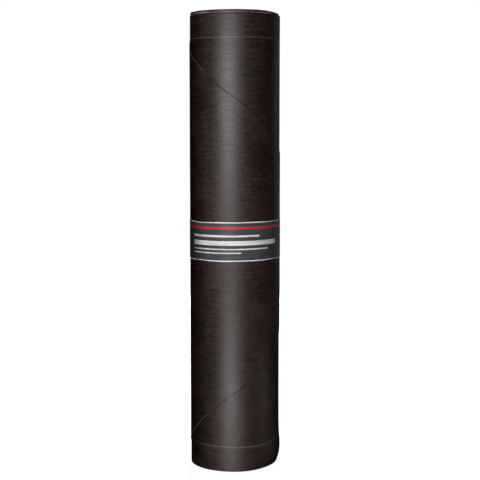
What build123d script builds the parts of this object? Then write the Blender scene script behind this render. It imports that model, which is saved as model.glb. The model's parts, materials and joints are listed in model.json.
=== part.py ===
"""Roll of roofing felt, standing on its end and held closed by a paper label band.

The frame has its origin at the centre of the foot, +Z up the roll's axis and the front towards -Y.
Lengths are in millimetres. Angles go round the roll from the front, positive towards +X, in degrees.
"""

import os
from math import cos, pi, radians, sin

from build123d import *

# Felt sheet and coil
SHEET_WIDTH = 914.4
FELT_THICKNESS = 1.1
BODY_DIAMETER = 180.4
BORE_DIAMETER = 50.8

# Ends of the coil, where the edges of the turns show
TURNS_PER_RING = 3
RING_CREEP = 0.25
RING_STAGGER = 0.9
OUTER_TURN_SETBACK = 7.0
FOOT_EDGE_EASE = 2.0

# Loose end of the sheet: two slanting edges run from the ends of the coil to a blunt tip under the label
FLAP_START = -127.0
FLAP_TIP_GAP = 30.0
FLAP_RAMP = 60.0
FLAP_ROOT_DEPTH = 0.25
FLAP_BITE = 1.5
FLAP_SECTION_STEP = 15.0

# Label band
LABEL_HEIGHT = 77.5
LABEL_CENTRE = 462.0
LABEL_THICKNESS = 0.25
LABEL_CLEARANCE = 0.1
LABEL_COVER = 14.0
LABEL_SEAM_ANGLE = 165.0
LABEL_OVERLAP = 25.0

body_radius = BODY_DIAMETER / 2
bore_radius = BORE_DIAMETER / 2
flap_radius = body_radius + FELT_THICKNESS
inner_turn_radius = body_radius - FELT_THICKNESS
outer_turn_top = SHEET_WIDTH - OUTER_TURN_SETBACK
flap_sweep = 360 - FLAP_TIP_GAP
flap_tip = FLAP_START + flap_sweep
ring_width = TURNS_PER_RING * FELT_THICKNESS
sheet_length = pi * (flap_radius**2 - bore_radius**2) / FELT_THICKNESS


def radial_plane(angle):
    """Plane through the axis at that angle: local x points outwards and local y up."""
    turn = radians(angle)
    return Plane(origin=(0, 0, 0), x_dir=(sin(turn), -cos(turn), 0), z_dir=(-cos(turn), -sin(turn), 0))


def ring_steps(rim_radius, end_height):
    """Outline of one end from its rim to the bore: the turns creep up the axis and every other ring stands out."""
    ring_count = int((rim_radius - bore_radius) / ring_width)
    steps = []
    for ring in range(ring_count):
        outer = rim_radius - ring * ring_width
        inner = bore_radius if ring == ring_count - 1 else outer - ring_width
        height = end_height + ring * RING_CREEP + ring % 2 * RING_STAGGER
        steps += [(outer, height), (inner, height)]
    return steps


def rim_point(angle, radius):
    """Point at that angle round the roll, in a plane across the axis."""
    return radius * sin(radians(angle)), -radius * cos(radians(angle))


def rim_arc(start, end, radius):
    """Arc round the axis between two angles, in a plane across the axis."""
    return CenterArc((0, 0), radius, start - 90, end - start)


def flap_edge(angle, end_height, tip_height):
    """Height of a slanting edge of the loose end: straight on the unrolled sheet, from a coil end to the tip."""
    return end_height + (tip_height - end_height) * (angle - FLAP_START) / flap_sweep


# Loose end: one turn that rises out of the coil and lies on it, cut to a point by its two slanting edges
with BuildPart() as loose_end:
    with BuildSketch(Plane.XY.offset(FOOT_EDGE_EASE)):
        with BuildLine():
            outer_arc = rim_arc(FLAP_START + FLAP_RAMP, flap_tip, flap_radius)
            root = rim_point(FLAP_START, body_radius - FLAP_ROOT_DEPTH)
            TangentArc(outer_arc @ 0, root, tangent=-(outer_arc % 0))
            inner_arc = rim_arc(FLAP_START, flap_tip, body_radius - FLAP_BITE)
            Line(root, inner_arc @ 0)
            Line(inner_arc @ 1, outer_arc @ 1)
        make_face()
    extrude(amount=outer_turn_top - FOOT_EDGE_EASE)
    edge_overrun = FLAP_TIP_GAP / 3
    edge_sweep = flap_sweep + 2 * edge_overrun
    section_count = round(edge_sweep / FLAP_SECTION_STEP)
    tip_half_width = LABEL_HEIGHT / 2 - LABEL_COVER
    for section in range(section_count + 1):
        angle = FLAP_START - edge_overrun + edge_sweep * section / section_count
        top = flap_edge(angle, outer_turn_top, LABEL_CENTRE + tip_half_width)
        bottom = flap_edge(angle, 0, LABEL_CENTRE - tip_half_width)
        with BuildSketch(radial_plane(angle)):
            with Locations((body_radius, (top + bottom) / 2)):
                Rectangle(4 * FLAP_BITE, top - bottom)
    loft(mode=Mode.INTERSECT)

# Coil of felt: a turned body with its bore, and the loose end fused to it
with BuildPart() as felt_roll:
    with BuildSketch(Plane.XZ):
        with BuildLine():
            Polyline(
                (body_radius, FOOT_EDGE_EASE),
                (body_radius, outer_turn_top),
                (inner_turn_radius, outer_turn_top),
                *ring_steps(inner_turn_radius, SHEET_WIDTH),
                *reversed(ring_steps(body_radius - FOOT_EDGE_EASE, 0)),
                close=True,
            )
        make_face()
    revolve(axis=Axis.Z)
    add(loose_end.part)

# Label band: a paper strip wrapped once round the roll, with its end glued over its start
with BuildPart() as label_band:
    label_inner = flap_radius + LABEL_CLEARANCE
    label_outer = label_inner + LABEL_THICKNESS
    label_foot = Plane.XY.offset(LABEL_CENTRE - LABEL_HEIGHT / 2)
    with BuildSketch(label_foot):
        Circle(label_outer)
        Circle(label_inner, mode=Mode.SUBTRACT)
    extrude(amount=LABEL_HEIGHT)
    overlap_angle = 180 / pi * LABEL_OVERLAP / label_outer
    with BuildSketch(label_foot):
        Circle(label_outer + LABEL_THICKNESS)
        Circle(label_inner, mode=Mode.SUBTRACT)
        with BuildLine():
            reach = 2 * label_outer
            seam = LABEL_SEAM_ANGLE - 90
            PolarLine((0, 0), reach, seam)
            arc = CenterArc((0, 0), reach, seam, overlap_angle)
            Line(arc @ 1, (0, 0))
        make_face(mode=Mode.INTERSECT)
    extrude(amount=LABEL_HEIGHT)

felt_roll.part.label = "felt_roll"
label_band.part.label = "label_band"

os.makedirs("parts", exist_ok=True)
export_step(felt_roll.part, "parts/felt_roll.step")
export_step(label_band.part, "parts/label_band.step")

print(f"sheet length {sheet_length / 1000:.2f} m, felt volume {felt_roll.part.volume / 1e9:.5f} m3")
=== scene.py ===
"""Looks of a roll of roofing felt: the wound coil, its loose pointed end and the paper label band.

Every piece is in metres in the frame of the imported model: origin at the centre of the foot, +Z up the roll's
axis and the front towards -Y. Angles go round the roll from the front, positive towards +X, in degrees.
"""

import json
from functools import cached_property
from math import radians, sqrt, tau

import bpy
import numpy as np
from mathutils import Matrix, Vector


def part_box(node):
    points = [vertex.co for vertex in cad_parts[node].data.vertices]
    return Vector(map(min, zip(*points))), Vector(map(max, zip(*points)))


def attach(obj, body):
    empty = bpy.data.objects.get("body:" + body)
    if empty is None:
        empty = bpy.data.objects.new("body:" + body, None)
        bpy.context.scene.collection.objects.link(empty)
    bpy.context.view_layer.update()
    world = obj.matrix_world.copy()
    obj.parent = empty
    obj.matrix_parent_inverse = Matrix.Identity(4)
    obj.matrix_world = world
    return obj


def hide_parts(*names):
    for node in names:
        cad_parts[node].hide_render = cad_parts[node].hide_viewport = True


MM = 0.001

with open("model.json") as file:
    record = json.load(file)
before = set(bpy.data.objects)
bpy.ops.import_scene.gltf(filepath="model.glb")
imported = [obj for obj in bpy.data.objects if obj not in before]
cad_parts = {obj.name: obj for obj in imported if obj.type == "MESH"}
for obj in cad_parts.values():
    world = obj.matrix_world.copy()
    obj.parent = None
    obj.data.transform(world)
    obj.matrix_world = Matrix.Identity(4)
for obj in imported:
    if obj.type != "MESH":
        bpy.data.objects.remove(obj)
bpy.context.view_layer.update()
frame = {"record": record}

# Sizes taken from the frame
felt_low, felt_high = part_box("felt_roll")
label_low, label_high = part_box("label_band")
bore_mount = next(mount for mount in frame["record"]["mounts"] if mount["name"] == "bore")
BORE_RADIUS = bore_mount["dims"]["r_mm"] * MM
SHEET_WIDTH = bore_mount["dims"]["length_mm"] * MM
COIL_TOP = felt_high[2]
FLAP_RADIUS = -felt_low[1]
LABEL_RADIUS = -label_low[1]
LABEL_HEIGHT = label_high[2] - label_low[2]
LABEL_CENTRE = (label_low[2] + label_high[2]) / 2

# Felt sheet
FELT_THICKNESS = 1.1 * MM
FELT_SHARP_ANGLE = 50.0
OUTER_TURN_SETBACK = 7.0 * MM
BODY_RADIUS = FLAP_RADIUS - FELT_THICKNESS
RIM_RADIUS = BODY_RADIUS - FELT_THICKNESS
OUTER_TURN_TOP = SHEET_WIDTH - OUTER_TURN_SETBACK

# Coil: turns of the sheet as they show on the ends
COIL_TURNS = 58
COIL_COLUMNS = 108
COIL_START = 24.0
RING_ANGLES = COIL_START + 360.0 * np.arange(COIL_COLUMNS) / COIL_COLUMNS
GROOVE_DEPTH = 1.6 * MM
END_CREEP = (COIL_TOP - SHEET_WIDTH) / (RIM_RADIUS - BORE_RADIUS)
STAGGER_START = 6.0 * MM
# Edge of one turn: share of the way across it, and drop below its crest
TURN_PROFILE = ((0.12, 0.35 * MM), (0.32, 0.0), (0.68, 0.0), (0.88, 0.35 * MM))

# Outside wall of the coil: its rows of points crowd together at the top edge and at the foot
WALL_TOP_ROWS = np.array([0.0, 0.35, 1.2, 3.0, 6.0]) * MM
WALL_FOOT_ROWS = np.array([48.0, 38.0, 30.0, 23.0, 17.0, 12.0, 8.0, 5.0, 3.0, 1.6, 0.7, 0.2]) * MM
WALL_MIDDLE_ROWS = 84
WALL_MIDDLE_FROM_TOP = 14.0 * MM
WALL_MIDDLE_FROM_FOOT = 60.0 * MM
TOP_EDGE_ROUNDING = 0.25 * MM
TOP_EDGE_WAVER = 0.5 * MM
TOP_EDGE_WAVER_REACH = 80.0 * MM
FOOT_EDGE_ROUNDING = 0.4 * MM
FOOT_EDGE_HEIGHT = 0.9 * MM
CREST_SHARE = 0.3
TOP_CREST_RISE = 0.1 * MM
FOOT_CREST_DROP = 0.15 * MM

# Knocks at the right: a crushed foot with a bulge above it, and a dented rim; reaches are in degrees
KNOCK_INNER_SHARE = 0.6
KNOCK_LIMIT = 1.2
CRUSH_ANGLE = 78.0
CRUSH_REACH = 62.0
CRUSH_DEPTH = 5.6 * MM
CRUSH_HEIGHT = 26.0 * MM
BULGE_ANGLE = 84.0
BULGE_REACH = 50.0
BULGE_DEPTH = 2.2 * MM
BULGE_CENTRE = 38.0 * MM
BULGE_SPREAD = 22.0 * MM
FOOT_LIFT_ANGLE = 52.0
FOOT_LIFT_REACH = 50.0
FOOT_LIFT = 2.2 * MM
DENT_ANGLE = 76.0
DENT_REACH = 48.0
DENT_DEPTH = 2.6 * MM
DENT_DROP = 2.2 * MM
DENT_MARGIN = 0.5 * MM

# Label band: it sits a little higher than in the frame
LABEL_LIFT = 1.4 * MM
LABEL_BOTTOM = label_low[2] + LABEL_LIFT
LABEL_TOP = label_high[2] + LABEL_LIFT
LABEL_COVER = 14.0 * MM
LABEL_SEAM = 165.0
LABEL_OVERLAP = 15.6
LABEL_PAPER = 0.25 * MM
LABEL_SKEW = 0.9 * MM
LABEL_COLUMNS = 260
LABEL_ROWS = 21
LABEL_SHARP_ANGLE = 40.0
LABEL_LAP_RAMP = 6.0
LABEL_LAP_RISE = 1.08 * LABEL_PAPER
LABEL_CURL = 0.35 * MM
LABEL_CURL_START = 10.0
LABEL_WRINKLE = 0.07 * MM
LABEL_WAVER = 0.45 * MM
LABEL_FLARE = 0.22 * MM
LABEL_FLARE_REACH = 4.0 * MM
LABEL_FLARE_WAVES = 5
LABEL_FLARE_CHANGE = 0.4

# Loose end of the sheet
FLAP_START = -127.0
FLAP_TIP_GAP = 30.0
FLAP_TIP = FLAP_START + 360.0 - FLAP_TIP_GAP
FLAP_TIP_HALF_WIDTH = LABEL_HEIGHT / 2 - LABEL_COVER
FLAP_RAMP = 60.0
FLAP_ROOT_DEPTH = 0.25 * MM
FLAP_COLUMNS = 165
FLAP_MIDDLE_ROWS = 54
FLAP_WORN_EDGE = 2.2 * MM
# Rows of points near a cut edge, in widths of its worn margin
FLAP_EDGE_ROWS = (0.0, 0.2, 0.5, 1.0, 2.0, 3.5, 6.0, 10.0)
FLAP_EDGE_ROUNDING = 0.3 * MM
FLAP_EDGE_LIFT = 0.9 * MM
FLAP_EDGE_CURL = 5.0 * MM
FLAP_LIFT_START = FLAP_START + 20.0
FLAP_HELD_REACH = (200.0 * MM, 290.0 * MM)
FLAP_UNDER_MARGIN = 12.0 * MM
FLAP_UNDER_DEPTH = 1.12 * FELT_THICKNESS

# Cut edges of the loose end: a waver in both, and a dip in each between these angles or about this one
CUT_WAVER = 0.8 * MM
CUT_WAVER_START = 1 / 6
LOWER_DIP = 7.5 * MM
LOWER_DIP_FULL = (-70.0, 60.0)
LOWER_DIP_END = 160.0
UPPER_DIP = 9.0 * MM
UPPER_DIP_ANGLE = -80.0
UPPER_DIP_REACH = 32.0

# Felt colours and finish
FELT_DARK = (0.0088, 0.0041, 0.0030, 1)
FELT_LIGHT = (0.0325, 0.0162, 0.0121, 1)
# Painted shade: the dark colour of a line that stands in for the shadow in the gap above the outermost turn
FELT_PAINTED_GAP_SHADE = (0.0050, 0.0040, 0.0036, 1)
FELT_DUST = (0.085, 0.072, 0.064, 1)
FELT_BARED = (0.300, 0.245, 0.205, 1)
FELT_LAP_LINE = (0.090, 0.078, 0.070, 1)
WORN_DARK = (0.014, 0.0085, 0.0070, 1)
# Pale colour of the rubbed margin, which also serves as a painted highlight at the left
WORN_AND_LIT = (0.125, 0.104, 0.092, 1)
CUT_DARK = (0.018, 0.0140, 0.0123, 1)
CUT_LIGHT = (0.150, 0.126, 0.110, 1)
FELT_ROUGHNESS = (0.44, 0.50)
FELT_SPECULAR = 0.59
DULL_HEIGHTS = (0.80, 0.905)
DULL_ROUGHNESS = 0.045

# Lines along the felt: their places and widths, and between which places across the roll they change
LAP_LINE_FROM_FOOT = 50.4 * MM
LAP_LINE_FROM_TOP = 52.5 * MM
LAP_LINE_HALF_WIDTH = 1.0 * MM
LAP_LINE_SOFT = 0.5 * MM
LAP_LINE_PUSH = 9.0 * MM
LAP_LINE_PUSH_X = (55.0 * MM, 100.0 * MM)
BARED_LINE_RISE = 2.9 * MM
BARED_LINE_HALF_WIDTH = 1.5 * MM
BARED_LINE_SOFT = 0.7 * MM
# Painted light: between these places the pale line turns paler from the front towards the flanks
PAINTED_FLANK_LIGHT_Y = (-88.0 * MM, -58.0 * MM)
# Painted shade in the gap just above the outermost turn: its rise, widths and how much it covers
GAP_SHADE_RISE = 0.2 * MM
GAP_SHADE_HALF_WIDTH = 0.9 * MM
GAP_SHADE_SOFT = 0.4 * MM
GAP_SHADE_COVER = 0.9
# Painted highlight on the worn margin: it fades out from the left between these places
EDGE_HIGHLIGHT_X = (-80.0 * MM, -40.0 * MM)

# Label print
LABEL_GROUND = (0.046, 0.0465, 0.050, 1)
LABEL_GROUND_LIGHT = (0.069, 0.070, 0.076, 1)
LABEL_PALE = (0.80, 0.78, 0.76, 1)
LABEL_RED = (0.55, 0.030, 0.045, 1)
LABEL_ROUGHNESS = (0.36, 0.46)
LABEL_SPECULAR = 0.4
LABEL_BORDER = 1.8 * MM
LABEL_BORDER_SOFT = 0.3 * MM
LABEL_SEAM_EDGE = 0.4 * MM
PRINT_SOFT = 0.2 * MM
PRINT_REPEATS = 2
PRINT_START = -62.0
PRINT_REPEAT = tau * LABEL_RADIUS / PRINT_REPEATS
ALL_ROUND = 2 * PRINT_REPEAT
# Printed bars: height of the middle above the band's foot, thickness, length along one repeat, and colour
LABEL_BARS = (
    (66.0 * MM, 5.0 * MM, ALL_ROUND, LABEL_RED),
    (50.0 * MM, 4.0 * MM, 150.0 * MM, LABEL_PALE),
    (36.0 * MM, 9.0 * MM, 196.0 * MM, LABEL_PALE),
    (24.0 * MM, 2.5 * MM, 172.0 * MM, LABEL_PALE),
    (16.5 * MM, 2.5 * MM, 112.0 * MM, LABEL_PALE),
)

# Stage: a pale floor, a white surround, black cards and a flag
WHITE = (1, 1, 1, 1)
FLOOR_SIZE = 8.0
FLOOR_COLOUR = (0.45, 0.45, 0.45, 1)
FLOOR_ROUGHNESS = 0.9
FLOOR_GLOW = (0.87, 1.0)
FLOOR_GLOW_REACH = (0.25, 1.6)
AMBIENT = 0.03
CARD_RADIUS = 3.6
CARD_HEIGHT = 2.6
CARD_TOP = 4.0
CARD_INNER_RADIUS = 0.085
CARD_FLOOR_GAP = 0.2 * MM
CARD_COLUMNS = 48
CARD_SHARP_ANGLE = 30.0
CARD_BLACK = (0.006, 0.006, 0.006, 1)
FLAG_LEFT = -0.185
FLAG_RIGHT = (-0.087, -0.112)
FLAG_FRONT = -0.16
FLAG_HEIGHTS = (0.02, 0.912)

# Camera and the usual aim of the lights
LIGHT_AIM = 0.46
CAMERA_SIDE = 0.0103
CAMERA_DISTANCE = 2.524
CAMERA_HEIGHT = 0.7207
CAMERA_PITCH = -5.94
CAMERA_LENS = 93.4
SENSOR_WIDTH = 36.0

# Order of the materials in the meshes of felt
SURFACE = 0
CUT_EDGE = 1
WORN_EDGE = 2


# Shared forms
def smooth_step(value, start, end):
    """0 before start, 1 after end, and a smooth rise between them."""
    share = np.clip((value - start) / (end - start), 0.0, 1.0)
    return share * share * (3 - 2 * share)


def hump(angle, centre, reach):
    """1 at the centre angle, falling smoothly to 0 at reach degrees on both sides, all round the roll."""
    away = np.abs((angle - centre + 180.0) % 360.0 - 180.0)
    return smooth_step(away, reach, 0.0)


def turn_point(angle, radius, height):
    """Points at those angles, radii and heights."""
    turn = np.radians(angle)
    return np.stack(np.broadcast_arrays(radius * np.sin(turn), -radius * np.cos(turn), height), axis=-1)


def ripple(seed, angle, height, waves, around, length, size):
    """Random ripple that closes round the roll: a sum of waves, each a whole number of times round."""
    rng = np.random.default_rng(seed)
    total = 0.0
    for _ in range(waves):
        times = rng.integers(around[0], around[1] + 1)
        rise = rng.choice((-1, 1)) * tau / rng.uniform(*length)
        total = total + np.cos(times * np.radians(angle) + rise * height + rng.uniform(0, tau))
    return size * total / sqrt(waves)


def edge_waver(seed, angle, waves, around, size):
    """Random waver of an edge, the same at every height."""
    return ripple(seed, angle, 0.0, waves, around, length=(1.0, 2.0), size=size)


def surface_ripple(angle, height):
    """How far the outside of the roll stands out of a true cylinder."""
    slow = ripple(11, angle, height, waves=7, around=(2, 6), length=(0.25, 0.7), size=0.16 * MM)
    quick = ripple(12, angle, height, waves=9, around=(5, 16), length=(0.05, 0.16), size=0.05 * MM)
    return slow + quick


def settle(points):
    """Bends the felt where it has been knocked: the foot edge at the right and the top rim above it."""
    x, y, z = points.T
    radius = np.hypot(x, y)
    angle = np.degrees(np.arctan2(x, -y))
    outward = (radius / BODY_RADIUS - KNOCK_INNER_SHARE) / (1 - KNOCK_INNER_SHARE)
    near_rim = np.clip(outward, 0.0, KNOCK_LIMIT) ** 2
    low = np.clip(1 - z / CRUSH_HEIGHT, 0.0, 1.0)
    crush = CRUSH_DEPTH * hump(angle, CRUSH_ANGLE, CRUSH_REACH) * low**2
    above_crush = np.exp(-(((z - BULGE_CENTRE) / BULGE_SPREAD) ** 2))
    bulge = BULGE_DEPTH * hump(angle, BULGE_ANGLE, BULGE_REACH) * above_crush
    foot_lift = FOOT_LIFT * hump(angle, FOOT_LIFT_ANGLE, FOOT_LIFT_REACH) * low
    at_top = smooth_step(z, OUTER_TURN_TOP + DENT_MARGIN, SHEET_WIDTH)
    dent = hump(angle, DENT_ANGLE, DENT_REACH) * at_top
    scale = 1 + near_rim * (bulge - crush - DENT_DEPTH * dent) / radius
    lift = near_rim * (foot_lift - DENT_DROP * dent)
    return np.stack([x * scale, y * scale, z + lift], axis=-1)


def add_object(name, data):
    """A new object in the scene: a mesh, a lamp or a camera."""
    made = bpy.data.objects.new(name, data)
    bpy.context.scene.collection.objects.link(made)
    return made


class MeshParts:
    """Vertices and faces collected for one mesh, with a material index for each face."""

    def __init__(self):
        self.blocks = []
        self.count = 0
        self.faces = []
        self.materials = []

    def add(self, points):
        """Adds an array of points and returns an array of their indices, of the same shape."""
        shape = points.shape[:-1]
        self.blocks.append(points.reshape(-1, 3))
        indices = np.arange(self.count, self.count + self.blocks[-1].shape[0]).reshape(shape)
        self.count += indices.size
        return indices

    def skin(self, rows, material=SURFACE, flip=False, close=False):
        """Quads between neighbouring rows of indices; a corner that is used twice leaves a triangle."""
        rows = np.asarray(rows)
        if close:
            rows = np.concatenate([rows, rows[:, :1]], axis=1)
        corners = np.stack([rows[:-1, :-1], rows[:-1, 1:], rows[1:, 1:], rows[1:, :-1]], axis=-1)
        corners = corners.reshape(-1, 4)
        for corner in corners[:, ::-1].tolist() if flip else corners.tolist():
            face = list(dict.fromkeys(corner))
            if len(face) > 2:
                self.faces.append(face)
                self.materials.append(material)

    def polygon(self, corners, material):
        """One face with many corners."""
        self.faces.append([int(corner) for corner in corners])
        self.materials.append(material)

    def build(self, name, materials, sharp_angle, shape=None):
        """The finished object, smooth except at edges sharper than the angle."""
        points = np.concatenate(self.blocks)
        if shape is not None:
            points = shape(points)
        mesh = bpy.data.meshes.new(name)
        mesh.from_pydata(points.tolist(), [], self.faces)
        for material in materials:
            mesh.materials.append(material)
        mesh.polygons.foreach_set("material_index", self.materials)
        mesh.polygons.foreach_set("use_smooth", [True] * len(self.faces))
        mesh.set_sharp_from_angle(angle=radians(sharp_angle))
        mesh.update()
        return add_object(name, mesh)


# Felt coil: a spiral of turns between the bore and the outermost turn, which is a ring of its own
def drift(seed, length, knot_step, size):
    """Random levels along the sheet, joined by straight runs, at places given in turns from the bore."""
    rng = np.random.default_rng(seed)
    knots = np.arange(0.0, COIL_TURNS + 2 * knot_step, knot_step)
    return size * np.interp(length, knots, rng.normal(0, 1, len(knots)))


def sheet_shift(length, radius):
    """How far the sheet has crept up the axis, at places given in turns from the bore."""
    from_rim = RIM_RADIUS - radius
    groups = np.abs(drift(21, length, knot_step=2.7, size=0.45 * MM))
    single = np.abs(drift(22, length, knot_step=0.43, size=0.28 * MM))
    return END_CREEP * from_rim + (groups + single) * smooth_step(from_rim, 0.0, STAGGER_START)


def coil_end(parts, up):
    """Edges of the turns on one end: rows of indices across a turn, with columns along the spiral; and the
    groove between the spiral and the outermost turn."""
    length = np.arange(COIL_TURNS * COIL_COLUMNS + 1) / COIL_COLUMNS
    angle = COIL_START + 360.0 * length
    pitch = (RIM_RADIUS - BORE_RADIUS) / COIL_TURNS
    inner = BORE_RADIUS + pitch * length
    outer = np.minimum(inner + pitch, RIM_RADIUS)
    inwards = -1.0 if up else 1.0
    crest = sheet_shift(length, (inner + outer) / 2) + (SHEET_WIDTH if up else 0.0)
    groove = parts.add(turn_point(angle[:-1], inner[:-1], crest[:-1] + inwards * GROOVE_DEPTH))
    ring_height = OUTER_TURN_TOP - GROOVE_DEPTH if up else GROOVE_DEPTH
    ring_groove = parts.add(turn_point(RING_ANGLES, RIM_RADIUS, ring_height))
    groove = np.append(groove, ring_groove[0])
    rows = [groove]
    for share, drop in TURN_PROFILE:
        radius = inner + share * (outer - inner)
        points = parts.add(turn_point(angle[:-1], radius[:-1], crest[:-1] + inwards * drop))
        rows.append(np.append(points, ring_groove[0]))
    rows.append(np.concatenate([groove[COIL_COLUMNS:], ring_groove[1:], ring_groove[:1]]))
    return np.array(rows), ring_groove


def build_coil(materials):
    """The coil as one closed mesh: bore, two ends of turns, and the outermost turn round them."""
    parts = MeshParts()
    last_turn = (COIL_TURNS - 1) * COIL_COLUMNS
    ends = []
    for up in (True, False):
        rows, ring_groove = coil_end(parts, up)
        parts.skin(rows[:-1], CUT_EDGE, flip=up)
        parts.skin(rows[-2:, : last_turn + 1], CUT_EDGE, flip=up)
        parts.skin(rows[-2:, last_turn:], SURFACE, flip=up)
        ends.append((rows, ring_groove))
    (top_rows, top_groove), (low_rows, low_groove) = ends

    # Bore wall and the sheet's inner end, which stands up along the bore
    parts.skin([low_rows[0, : COIL_COLUMNS + 1], top_rows[0, : COIL_COLUMNS + 1]], flip=True)
    parts.polygon([*top_rows[::-1, 0], *low_rows[:, 0]], CUT_EDGE)

    # Outermost turn: the outside wall of the roll and its two edges
    middle_rows = np.linspace(OUTER_TURN_TOP - WALL_MIDDLE_FROM_TOP, WALL_MIDDLE_FROM_FOOT, WALL_MIDDLE_ROWS)
    heights = np.concatenate([OUTER_TURN_TOP - WALL_TOP_ROWS, middle_rows, WALL_FOOT_ROWS])
    inset = FOOT_EDGE_ROUNDING * np.clip(1 - heights / FOOT_EDGE_HEIGHT, 0.0, 1.0)
    inset[0] = TOP_EDGE_ROUNDING
    angles, heights = np.meshgrid(RING_ANGLES, heights)
    waver = edge_waver(31, angles, waves=6, around=(1, 5), size=TOP_EDGE_WAVER)
    heights = heights + waver * smooth_step(heights, OUTER_TURN_TOP - TOP_EDGE_WAVER_REACH, OUTER_TURN_TOP)
    radius = BODY_RADIUS - inset[:, None] + surface_ripple(angles, heights)
    wall = parts.add(turn_point(angles, radius, heights))
    parts.skin(wall, close=True, flip=True)
    crest_radius = RIM_RADIUS + CREST_SHARE * FELT_THICKNESS
    for up, groove, crest_height, edge in (
        (True, top_groove, heights[0] + TOP_CREST_RISE, wall[0]),
        (False, low_groove, heights[-1] - FOOT_CREST_DROP, wall[-1]),
    ):
        crest = parts.add(turn_point(RING_ANGLES, crest_radius, crest_height))
        parts.skin([groove, crest, edge], CUT_EDGE, close=True, flip=up)
    return parts.build("felt_coil", materials, FELT_SHARP_ANGLE, settle)


# Loose end: a pointed sheet that rises out of the coil and lies on it
def flap_radius_at(angle):
    """Outside radius of the loose end: a smooth ramp out of the coil, then one thickness above it."""
    down = np.clip((FLAP_START + FLAP_RAMP - angle) / FLAP_RAMP, 0.0, 1.0)
    return FLAP_RADIUS - (FELT_THICKNESS + FLAP_ROOT_DEPTH) * down**2


def flap_edges(angle):
    """Heights of the lower and upper slanting edges, with the slight waver of a knife cut."""
    share = (angle - FLAP_START) / (FLAP_TIP - FLAP_START)
    waver = edge_waver(41, angle, waves=5, around=(3, 11), size=CUT_WAVER)
    waver = waver * np.minimum(1.0, share / CUT_WAVER_START)
    dip_full, dip_fall = LOWER_DIP_FULL
    dipped = smooth_step(angle, FLAP_START, dip_full) * smooth_step(angle, LOWER_DIP_END, dip_fall)
    lower = share * (LABEL_CENTRE - FLAP_TIP_HALF_WIDTH) - LOWER_DIP * dipped
    upper = OUTER_TURN_TOP + share * (LABEL_CENTRE + FLAP_TIP_HALF_WIDTH - OUTER_TURN_TOP)
    upper = upper - UPPER_DIP * hump(angle, UPPER_DIP_ANGLE, UPPER_DIP_REACH)
    return lower + waver, upper - waver


def build_loose_end(materials):
    """The loose end as one thin closed mesh."""
    parts = MeshParts()
    angle = np.linspace(FLAP_START, FLAP_TIP, FLAP_COLUMNS)
    lower, upper = flap_edges(angle)
    near_edge = FLAP_WORN_EDGE * np.array(FLAP_EDGE_ROWS)[:, None]
    low_side = lower + near_edge
    high_side = upper - near_edge[::-1]
    across = np.linspace(0.0, 1.0, FLAP_MIDDLE_ROWS)[1:-1, None]
    middle = low_side[-1] + across * (high_side[0] - low_side[-1])
    heights = np.concatenate([low_side, middle, high_side])
    angles = np.broadcast_to(angle, heights.shape)
    from_edge = np.minimum(heights - lower, upper - heights)
    risen = smooth_step(angle, FLAP_LIFT_START, FLAP_START + FLAP_RAMP)
    lift = FLAP_EDGE_LIFT * risen * smooth_step(LABEL_BOTTOM - lower, *FLAP_HELD_REACH)
    curl = lift * np.exp(-from_edge / FLAP_EDGE_CURL)
    rounding = FLAP_EDGE_ROUNDING * np.clip(1 - from_edge / FLAP_WORN_EDGE, 0.0, 1.0) ** 2
    base = flap_radius_at(angle) + surface_ripple(angles, heights)
    outside = parts.add(turn_point(angles, base + curl - rounding, heights))

    # Underside: it follows the curled edges, then lies on the coil
    heights = np.array([lower, lower + FLAP_UNDER_MARGIN, upper - FLAP_UNDER_MARGIN, upper])
    angles = np.broadcast_to(angle, heights.shape)
    curl = np.array([1.0, 0.0, 0.0, 1.0])[:, None] * lift
    base = flap_radius_at(angle) - FLAP_UNDER_DEPTH + surface_ripple(angles, heights)
    inside = parts.add(turn_point(angles, base + curl, heights))

    worn_rows = FLAP_EDGE_ROWS.index(1.0)
    parts.skin(outside[: worn_rows + 1], WORN_EDGE)
    parts.skin(outside[worn_rows:-worn_rows])
    parts.skin(outside[-worn_rows - 1 :], WORN_EDGE)
    parts.skin(inside, flip=True)
    parts.skin([inside[0], outside[0]], CUT_EDGE)
    parts.skin([outside[-1], inside[-1]], CUT_EDGE)
    parts.polygon([*outside[:, 0], *inside[::-1, 0]], CUT_EDGE)
    parts.polygon([*outside[::-1, -1], *inside[:, -1]], CUT_EDGE)
    return parts.build("felt_loose_end", materials, FELT_SHARP_ANGLE, settle)


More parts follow.
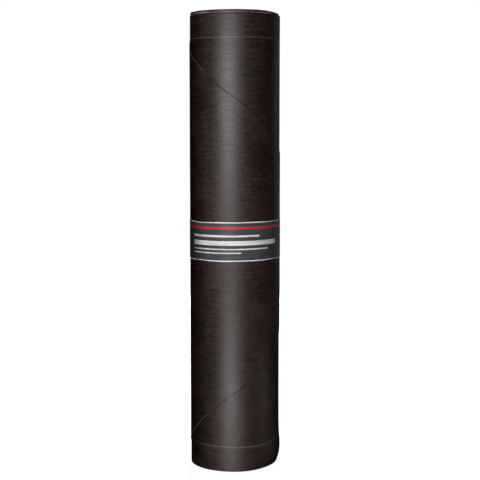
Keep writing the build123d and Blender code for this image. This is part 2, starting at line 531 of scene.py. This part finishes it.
# Label band: a paper strip once round the roll, its end glued over its start at the back
def build_label(material):
    """The band as one thin closed strip with a lapped seam."""
    parts = MeshParts()
    lap_start = LABEL_SEAM + 360.0
    lap_end = lap_start + LABEL_OVERLAP
    angle = np.linspace(LABEL_SEAM, lap_end, LABEL_COLUMNS)
    angles, heights = np.meshgrid(angle, np.linspace(LABEL_BOTTOM, LABEL_TOP, LABEL_ROWS))
    lap = LABEL_LAP_RISE * smooth_step(angles, lap_start - LABEL_LAP_RAMP, lap_start)
    end_curl = LABEL_CURL * smooth_step(angles, lap_start + LABEL_CURL_START, lap_end) ** 2
    wrinkle = ripple(51, angles, heights, waves=9, around=(4, 13), length=(0.03, 0.12), size=LABEL_WRINKLE)
    from_edge = np.minimum(heights - LABEL_BOTTOM, LABEL_TOP - heights)
    puckers = np.cos(np.radians(LABEL_FLARE_WAVES * angles))
    flare = LABEL_FLARE * (1 - LABEL_FLARE_CHANGE + LABEL_FLARE_CHANGE * puckers)
    flare = flare * np.exp(-from_edge / LABEL_FLARE_REACH)
    radius = LABEL_RADIUS + lap + end_curl + np.abs(wrinkle) + flare
    waver = edge_waver(52, angles, waves=5, around=(2, 7), size=LABEL_WAVER)
    from_middle = np.linspace(-1.0, 1.0, LABEL_ROWS)[:, None]
    heights = heights + waver * from_middle + LABEL_SKEW * np.sin(np.radians(angles))
    outside = parts.add(turn_point(angles, radius, heights))
    inside = parts.add(turn_point(angles, radius - LABEL_PAPER, heights))
    parts.skin(outside)
    parts.skin(inside, flip=True)
    parts.skin([inside[0], outside[0]])
    parts.skin([outside[-1], inside[-1]])
    parts.skin([outside[:, 0], inside[:, 0]])
    parts.skin([inside[:, -1], outside[:, -1]])
    return parts.build("paper_label", [material], LABEL_SHARP_ANGLE)


# Materials
class Shader:
    """A material and short calls that add nodes to it."""

    def __init__(self, name):
        self.material = bpy.data.materials.new(name)
        self.material.use_nodes = True
        self.tree = self.material.node_tree
        self.surface = self.tree.nodes["Principled BSDF"]

    @cached_property
    def place(self):
        """Coordinates in the frame of the object."""
        return self.node("ShaderNodeTexCoord").outputs["Object"]

    def node(self, kind, settings=None, inputs=None):
        """A new node: inputs are values or sockets to link, by name or number."""
        made = self.tree.nodes.new(kind)
        for key, value in (settings or {}).items():
            setattr(made, key, value)
        for key, value in (inputs or {}).items():
            self.feed(made.inputs[key], value)
        return made

    def feed(self, socket, value):
        """Sets a socket to a value, or links another socket to it."""
        if isinstance(value, bpy.types.NodeSocket):
            self.tree.links.new(value, socket)
        else:
            socket.default_value = value

    def axes(self):
        """Sockets for x, y and the height."""
        return self.node("ShaderNodeSeparateXYZ", inputs={0: self.place}).outputs

    def math(self, operation, first, second=0.0, third=0.0):
        """The result of one operation on numbers."""
        inputs = {0: first, 1: second, 2: third}
        return self.node("ShaderNodeMath", {"operation": operation}, inputs).outputs[0]

    def times(self, first, *others):
        """The product of several values."""
        for other in others:
            first = self.math("MULTIPLY", first, other)
        return first

    def mix_of(self, *shares):
        """The sum of several values, each times its share."""
        total = 0.0
        for value, share in shares:
            total = self.math("MULTIPLY_ADD", value, share, total)
        return total

    def noise(self, across, up=None, detail=3.0, rough=0.5):
        """Noise over the object, in waves per metre across the roll and up it, which are alike by default."""
        inputs = {0: self.place, 1: (across, across, up or across)}
        scaled = self.node("ShaderNodeVectorMath", {"operation": "MULTIPLY"}, inputs).outputs[0]
        inputs = {"Vector": scaled, "Scale": 1.0, "Detail": detail, "Roughness": rough}
        return self.node("ShaderNodeTexNoise", inputs=inputs).outputs[0]

    def ramp(self, value, start, end, low=0.0, high=1.0, kind="SMOOTHSTEP"):
        """A change from low to high as the value goes from start to end."""
        inputs = {"Value": value, "From Min": start, "From Max": end, "To Min": low, "To Max": high}
        return self.node("ShaderNodeMapRange", {"interpolation_type": kind}, inputs).outputs[0]

    def blend(self, share, first, second):
        """A colour between two."""
        inputs = {0: share, 6: first, 7: second}
        return self.node("ShaderNodeMix", {"data_type": "RGBA"}, inputs).outputs[2]

    def stripe(self, value, centre, half_width, soft):
        """1 within half_width of the centre, with soft edges."""
        away = self.math("ABSOLUTE", self.math("SUBTRACT", value, centre))
        return self.ramp(away, half_width - soft, half_width + soft, low=1.0, high=0.0)

    def bump(self, height, strength, distance):
        """Normals of a fine relief."""
        inputs = {"Strength": strength, "Distance": distance, "Height": height}
        return self.node("ShaderNodeBump", inputs=inputs).outputs[0]

    def finish(self, colour, roughness, specular, normal=None):
        """Feeds the surface with values or sockets and returns the material."""
        self.feed(self.surface.inputs["Base Color"], colour)
        self.feed(self.surface.inputs["Roughness"], roughness)
        self.feed(self.surface.inputs["Specular IOR Level"], specular)
        if normal is not None:
            self.feed(self.surface.inputs["Normal"], normal)
        return self.material


def felt_material():
    """Asphalt-saturated felt: dark brown, streaked round the roll, with fine fibres and printed lap lines."""
    shader = Shader("felt_surface")
    x, y, height = shader.axes()
    streaks = shader.noise(across=16.0, up=300.0, rough=0.55)
    flecks = shader.noise(across=90.0, up=240.0, detail=5.0, rough=0.6)
    mottle = shader.noise(across=17.0, detail=4.0, rough=0.6)
    fibres = shader.noise(across=620.0, up=1500.0)
    tone = shader.mix_of((streaks, 0.3), (flecks, 0.4), (mottle, 0.3))
    colour = shader.blend(shader.ramp(tone, start=0.36, end=0.64), FELT_DARK, FELT_LIGHT)

    # Lap lines, the lower one pushed up over the crushed foot, and specks of dust
    worn = shader.ramp(shader.noise(across=60.0, up=20.0), start=0.36, end=0.62, low=0.5)
    pushed_up = shader.ramp(x, *LAP_LINE_PUSH_X, high=LAP_LINE_PUSH)
    low_line = (shader.math("SUBTRACT", height, pushed_up), LAP_LINE_FROM_FOOT)
    high_line = (height, SHEET_WIDTH - LAP_LINE_FROM_TOP)
    for level, line_height in (low_line, high_line):
        line = shader.stripe(level, line_height, LAP_LINE_HALF_WIDTH, LAP_LINE_SOFT)
        colour = shader.blend(shader.times(line, worn), colour, FELT_LAP_LINE)
    specks = shader.ramp(shader.noise(across=230.0, detail=1.0), start=0.73, end=0.79, high=0.6)
    colour = shader.blend(specks, colour, FELT_DUST)

    # Above the outermost turn: a pale worn line, rubbed unevenly and painted paler off the front as painted
    # light on the flanks, and a dark line of painted shade in the gap at the turn's edge
    rubbed = shader.ramp(shader.noise(across=34.0, up=8.0), start=0.36, end=0.62, low=0.35, high=0.95)
    # Painted light: the pale line is paler on the flanks and back than at the front
    painted_flank_light = shader.ramp(y, *PAINTED_FLANK_LIGHT_Y, low=0.2)
    bared = shader.stripe(height, OUTER_TURN_TOP + BARED_LINE_RISE, BARED_LINE_HALF_WIDTH, BARED_LINE_SOFT)
    colour = shader.blend(shader.times(bared, rubbed, painted_flank_light), colour, FELT_BARED)
    # Painted shade: a dark line where the gap above the outermost turn lies in shadow
    painted_gap_shade = shader.stripe(height, OUTER_TURN_TOP + GAP_SHADE_RISE, GAP_SHADE_HALF_WIDTH, GAP_SHADE_SOFT)
    colour = shader.blend(shader.times(painted_gap_shade, GAP_SHADE_COVER), colour, FELT_PAINTED_GAP_SHADE)

    # Sheen, duller near the top, and the relief of the streaks and fibres
    polish = shader.mix_of((mottle, 0.25), (streaks, 0.5), (flecks, 0.25))
    smooth, rough = FELT_ROUGHNESS
    dull = shader.ramp(height, *DULL_HEIGHTS, high=DULL_ROUGHNESS)
    roughness = shader.math("ADD", shader.ramp(polish, start=0.40, end=0.60, low=smooth, high=rough), dull)
    relief = shader.mix_of((streaks, 0.07), (flecks, 0.07), (fibres, 0.22))
    normal = shader.bump(relief, strength=1.0, distance=1.0 * MM)
    return shader.finish(colour, roughness, FELT_SPECULAR, normal)


def worn_and_lit_edge_material():
    """The frayed margin along the cut sides of the loose end, worn unevenly, with a painted highlight: paler
    at the left, where the cut edge catches the light.
    """
    shader = Shader("felt_worn_and_lit_edge")
    x, _, _ = shader.axes()
    fibres = shader.noise(across=700.0)
    patches = shader.noise(across=60.0, detail=4.0)
    tone = shader.mix_of((fibres, 0.4), (patches, 0.6))
    rubbed = shader.ramp(tone, start=0.36, end=0.62, low=0.3)
    # Painted highlight: the margin turns paler towards the left, standing in for light on the cut edge
    painted_left_highlight = shader.ramp(x, *EDGE_HIGHLIGHT_X, low=1.0, high=0.0)
    colour = shader.blend(shader.times(rubbed, painted_left_highlight), WORN_DARK, WORN_AND_LIT)
    normal = shader.bump(fibres, strength=0.6, distance=0.3 * MM)
    return shader.finish(colour, roughness=0.55, specular=0.40, normal=normal)


def cut_edge_material():
    """Cut edges of the felt: dusty brown fibres, lighter or darker from turn to turn."""
    shader = Shader("felt_cut_edge")
    x, y, _ = shader.axes()
    radius = shader.math("SQRT", shader.math("ADD", shader.times(x, x), shader.times(y, y)))
    inputs = {"W": radius, "Scale": 420.0, "Detail": 3.0}
    rings = shader.node("ShaderNodeTexNoise", {"noise_dimensions": "1D"}, inputs).outputs[0]
    fibres = shader.noise(across=900.0)
    patches = shader.noise(across=34.0, detail=4.0)
    tone = shader.mix_of((rings, 0.5), (fibres, 0.2), (patches, 0.3))
    colour = shader.blend(shader.ramp(tone, start=0.36, end=0.64), CUT_DARK, CUT_LIGHT)
    normal = shader.bump(fibres, strength=0.5, distance=0.3 * MM)
    return shader.finish(colour, roughness=0.8, specular=0.2, normal=normal)


def label_material():
    """Coated paper printed in charcoal, with pale edge lines, and a red stripe and pale bars that repeat."""
    shader = Shader("label_print")
    x, y, height = shader.axes()
    paper = shader.noise(across=140.0, detail=4.0)
    scuffs = shader.noise(across=40.0, up=240.0, detail=4.0)
    colour = shader.blend(shader.ramp(scuffs, start=0.4, end=0.66), LABEL_GROUND, LABEL_GROUND_LIGHT)
    wear = shader.ramp(scuffs, start=0.36, end=0.7, low=0.95, high=0.6)

    # Places on the unrolled band: above its foot, which is skewed, and along one repeat of the print
    level = shader.math("MULTIPLY_ADD", x, -LABEL_SKEW / LABEL_RADIUS, height)
    above_foot = shader.math("SUBTRACT", level, LABEL_BOTTOM)
    turn = shader.math("ARCTAN2", x, shader.times(y, -1.0))
    along = shader.times(shader.math("SUBTRACT", turn, radians(PRINT_START)), LABEL_RADIUS)
    along = shader.math("FLOORED_MODULO", along, PRINT_REPEAT)

    # Bars, the lines along both edges and the pale edge of the seam
    for bar_height, thickness, length, ink in LABEL_BARS:
        across = shader.stripe(above_foot, bar_height, thickness / 2, PRINT_SOFT)
        reach = shader.ramp(along, length - PRINT_SOFT, length + PRINT_SOFT, low=1.0, high=0.0)
        colour = shader.blend(shader.times(across, reach, wear), colour, ink)
    for edge in (LABEL_BOTTOM, LABEL_TOP):
        border = shader.stripe(level, edge, LABEL_BORDER, LABEL_BORDER_SOFT)
        colour = shader.blend(border, colour, LABEL_PALE)
    from_seam = shader.math("SUBTRACT", turn, radians(LABEL_SEAM + LABEL_OVERLAP - 360.0))
    seam = shader.stripe(shader.times(from_seam, LABEL_RADIUS), 0.0, LABEL_SEAM_EDGE, PRINT_SOFT)
    colour = shader.blend(shader.times(seam, wear), colour, LABEL_PALE)
    smooth, rough = LABEL_ROUGHNESS
    roughness = shader.ramp(paper, start=0.3, end=0.7, low=smooth, high=rough)
    normal = shader.bump(paper, strength=0.12, distance=0.2 * MM)
    return shader.finish(colour, roughness, LABEL_SPECULAR, normal)


# Stage: a pale floor, a white surround, black cards, a flag and soft studio lights
def seen_rays(tree):
    """A socket that is 1 for rays that show the background: camera, glossy and transmission rays."""
    path = tree.nodes.new("ShaderNodeLightPath")
    total = path.outputs["Is Camera Ray"]
    for ray in ("Is Glossy Ray", "Is Transmission Ray"):
        either = tree.nodes.new("ShaderNodeMath")
        either.operation = "MAXIMUM"
        tree.links.new(total, either.inputs[0])
        tree.links.new(path.outputs[ray], either.inputs[1])
        total = either.outputs[0]
    return total


def add_panel(name, corners, material):
    """A flat panel with four corners."""
    mesh = bpy.data.meshes.new(name)
    mesh.from_pydata(corners, [], [(0, 1, 2, 3)])
    mesh.materials.append(material)
    return add_object(name, mesh)


def build_floor():
    """A large pale floor that keeps the roll's shadow and fades to the white surround."""
    shader = Shader("floor")
    distance = shader.node("ShaderNodeVectorMath", {"operation": "LENGTH"}, {0: shader.place})
    near, far = FLOOR_GLOW
    glow = shader.ramp(distance.outputs["Value"], *FLOOR_GLOW_REACH, low=near, high=far, kind="LINEAR")
    shader.feed(shader.surface.inputs["Emission Color"], WHITE)
    shader.feed(shader.surface.inputs["Emission Strength"], shader.times(glow, seen_rays(shader.tree)))
    half = FLOOR_SIZE / 2
    corners = [(-half, -half, 0), (half, -half, 0), (half, half, 0), (-half, half, 0)]
    floor = add_panel("floor", corners, shader.finish(FLOOR_COLOUR, FLOOR_ROUGHNESS, specular=0.0))


def build_cards(material):
    """Black cards round the set, for reflections alone: they keep the dark felt from mirroring the white."""
    parts = MeshParts()
    angle = np.linspace(0.0, 360.0, CARD_COLUMNS, endpoint=False)
    profile = (
        (CARD_INNER_RADIUS, CARD_FLOOR_GAP),
        (CARD_RADIUS, CARD_FLOOR_GAP),
        (CARD_RADIUS, CARD_HEIGHT),
        (CARD_INNER_RADIUS, CARD_TOP),
    )
    rows = np.array([turn_point(angle, radius, height) for radius, height in profile])
    parts.skin(parts.add(rows), close=True)
    cards = parts.build("black_cards", [material], CARD_SHARP_ANGLE)
    cards.visible_camera = False
    cards.visible_diffuse = False
    cards.visible_transmission = False
    cards.visible_shadow = False


def build_flag(material):
    """A narrow black flag by the left flank, which the camera doesn't see: it holds the key light off it."""
    low, high = FLAG_HEIGHTS
    low_right, high_right = FLAG_RIGHT
    outline = [(FLAG_LEFT, low), (low_right, low), (high_right, high), (FLAG_LEFT, high)]
    flag = add_panel("left_flag", [(x, FLAG_FRONT, z) for x, z in outline], material)
    flag.visible_camera = False


def build_world():
    """White to the camera and in reflections, and a weak even light otherwise."""
    world = bpy.data.worlds.new("surround")
    bpy.context.scene.world = world
    world.use_nodes = True
    tree = world.node_tree
    background = tree.nodes["Background"]
    background.inputs["Color"].default_value = WHITE
    level = tree.nodes.new("ShaderNodeMapRange")
    level.inputs["To Min"].default_value = AMBIENT
    level.inputs["To Max"].default_value = 1.0
    tree.links.new(seen_rays(tree), level.inputs["Value"])
    tree.links.new(level.outputs[0], background.inputs["Strength"])


def area_light(name, place, size, power, aim=LIGHT_AIM, only=None):
    """A soft box that faces the roll's axis at the aim height, and may light only some of the objects. Its
    place is an angle, a distance and a height, and its size a width and a height."""
    lamp = bpy.data.lights.new(name, "AREA")
    lamp.shape = "RECTANGLE"
    lamp.size, lamp.size_y = size
    lamp.energy = power
    box = add_object(name, lamp)
    box.location = turn_point(*place)
    box.rotation_euler = (Vector((0, 0, aim)) - box.location).to_track_quat("-Z", "Y").to_euler()
    box.light_linking.receiver_collection = only


def build_lights(pieces):
    """Key, rim, back and top lights, and two low lights for the roll alone, not the floor they stand on."""
    roll = bpy.data.collections.new("lit_by_low_boxes")
    for piece in pieces:
        roll.objects.link(piece)
    area_light("key_box", place=(-16.0, 1.2, 0.79), size=(0.5, 0.16), power=10.8, aim=0.79)
    area_light("low_box", place=(-11.0, 0.7, 0.03), size=(0.28, 0.06), power=2.25, aim=0.14, only=roll)
    area_light("low_right_box", place=(75.0, 0.5, 0.05), size=(0.25, 0.06), power=0.08, aim=0.08, only=roll)
    area_light("rim_box", place=(138.0, 2.2, 0.8), size=(0.5, 1.5), power=1.3)
    area_light("back_box", place=(180.0, 2.2, 0.85), size=(0.16, 1.6), power=24.0)
    area_light("top_box", place=(190.0, 1.2, 2.2), size=(1.0, 1.0), power=26.0)


def build_camera():
    """The camera at the photograph's viewing angle: a little above the middle, looking slightly down."""
    lens = bpy.data.cameras.new("camera")
    lens.lens = CAMERA_LENS
    lens.sensor_width = SENSOR_WIDTH
    camera = add_object("camera", lens)
    camera.location = (CAMERA_SIDE, -CAMERA_DISTANCE, CAMERA_HEIGHT)
    camera.rotation_euler = (radians(90.0 + CAMERA_PITCH), 0, 0)
    bpy.context.scene.camera = camera


felt_surface = felt_material()
felt_cut_edge = cut_edge_material()
coil = build_coil([felt_surface, felt_cut_edge])
loose_end = build_loose_end([felt_surface, felt_cut_edge, worn_and_lit_edge_material()])
for piece in (coil, loose_end):
    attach(piece, "root")
    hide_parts("felt_roll")
label = build_label(label_material())
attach(label, "root")
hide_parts("label_band")

build_floor()
black_card = Shader("black_card").finish(CARD_BLACK, roughness=1.0, specular=0.0)
build_cards(black_card)
build_flag(black_card)
build_world()
build_lights((coil, loose_end, label))
build_camera()
bpy.context.scene.view_settings.view_transform = "Standard"
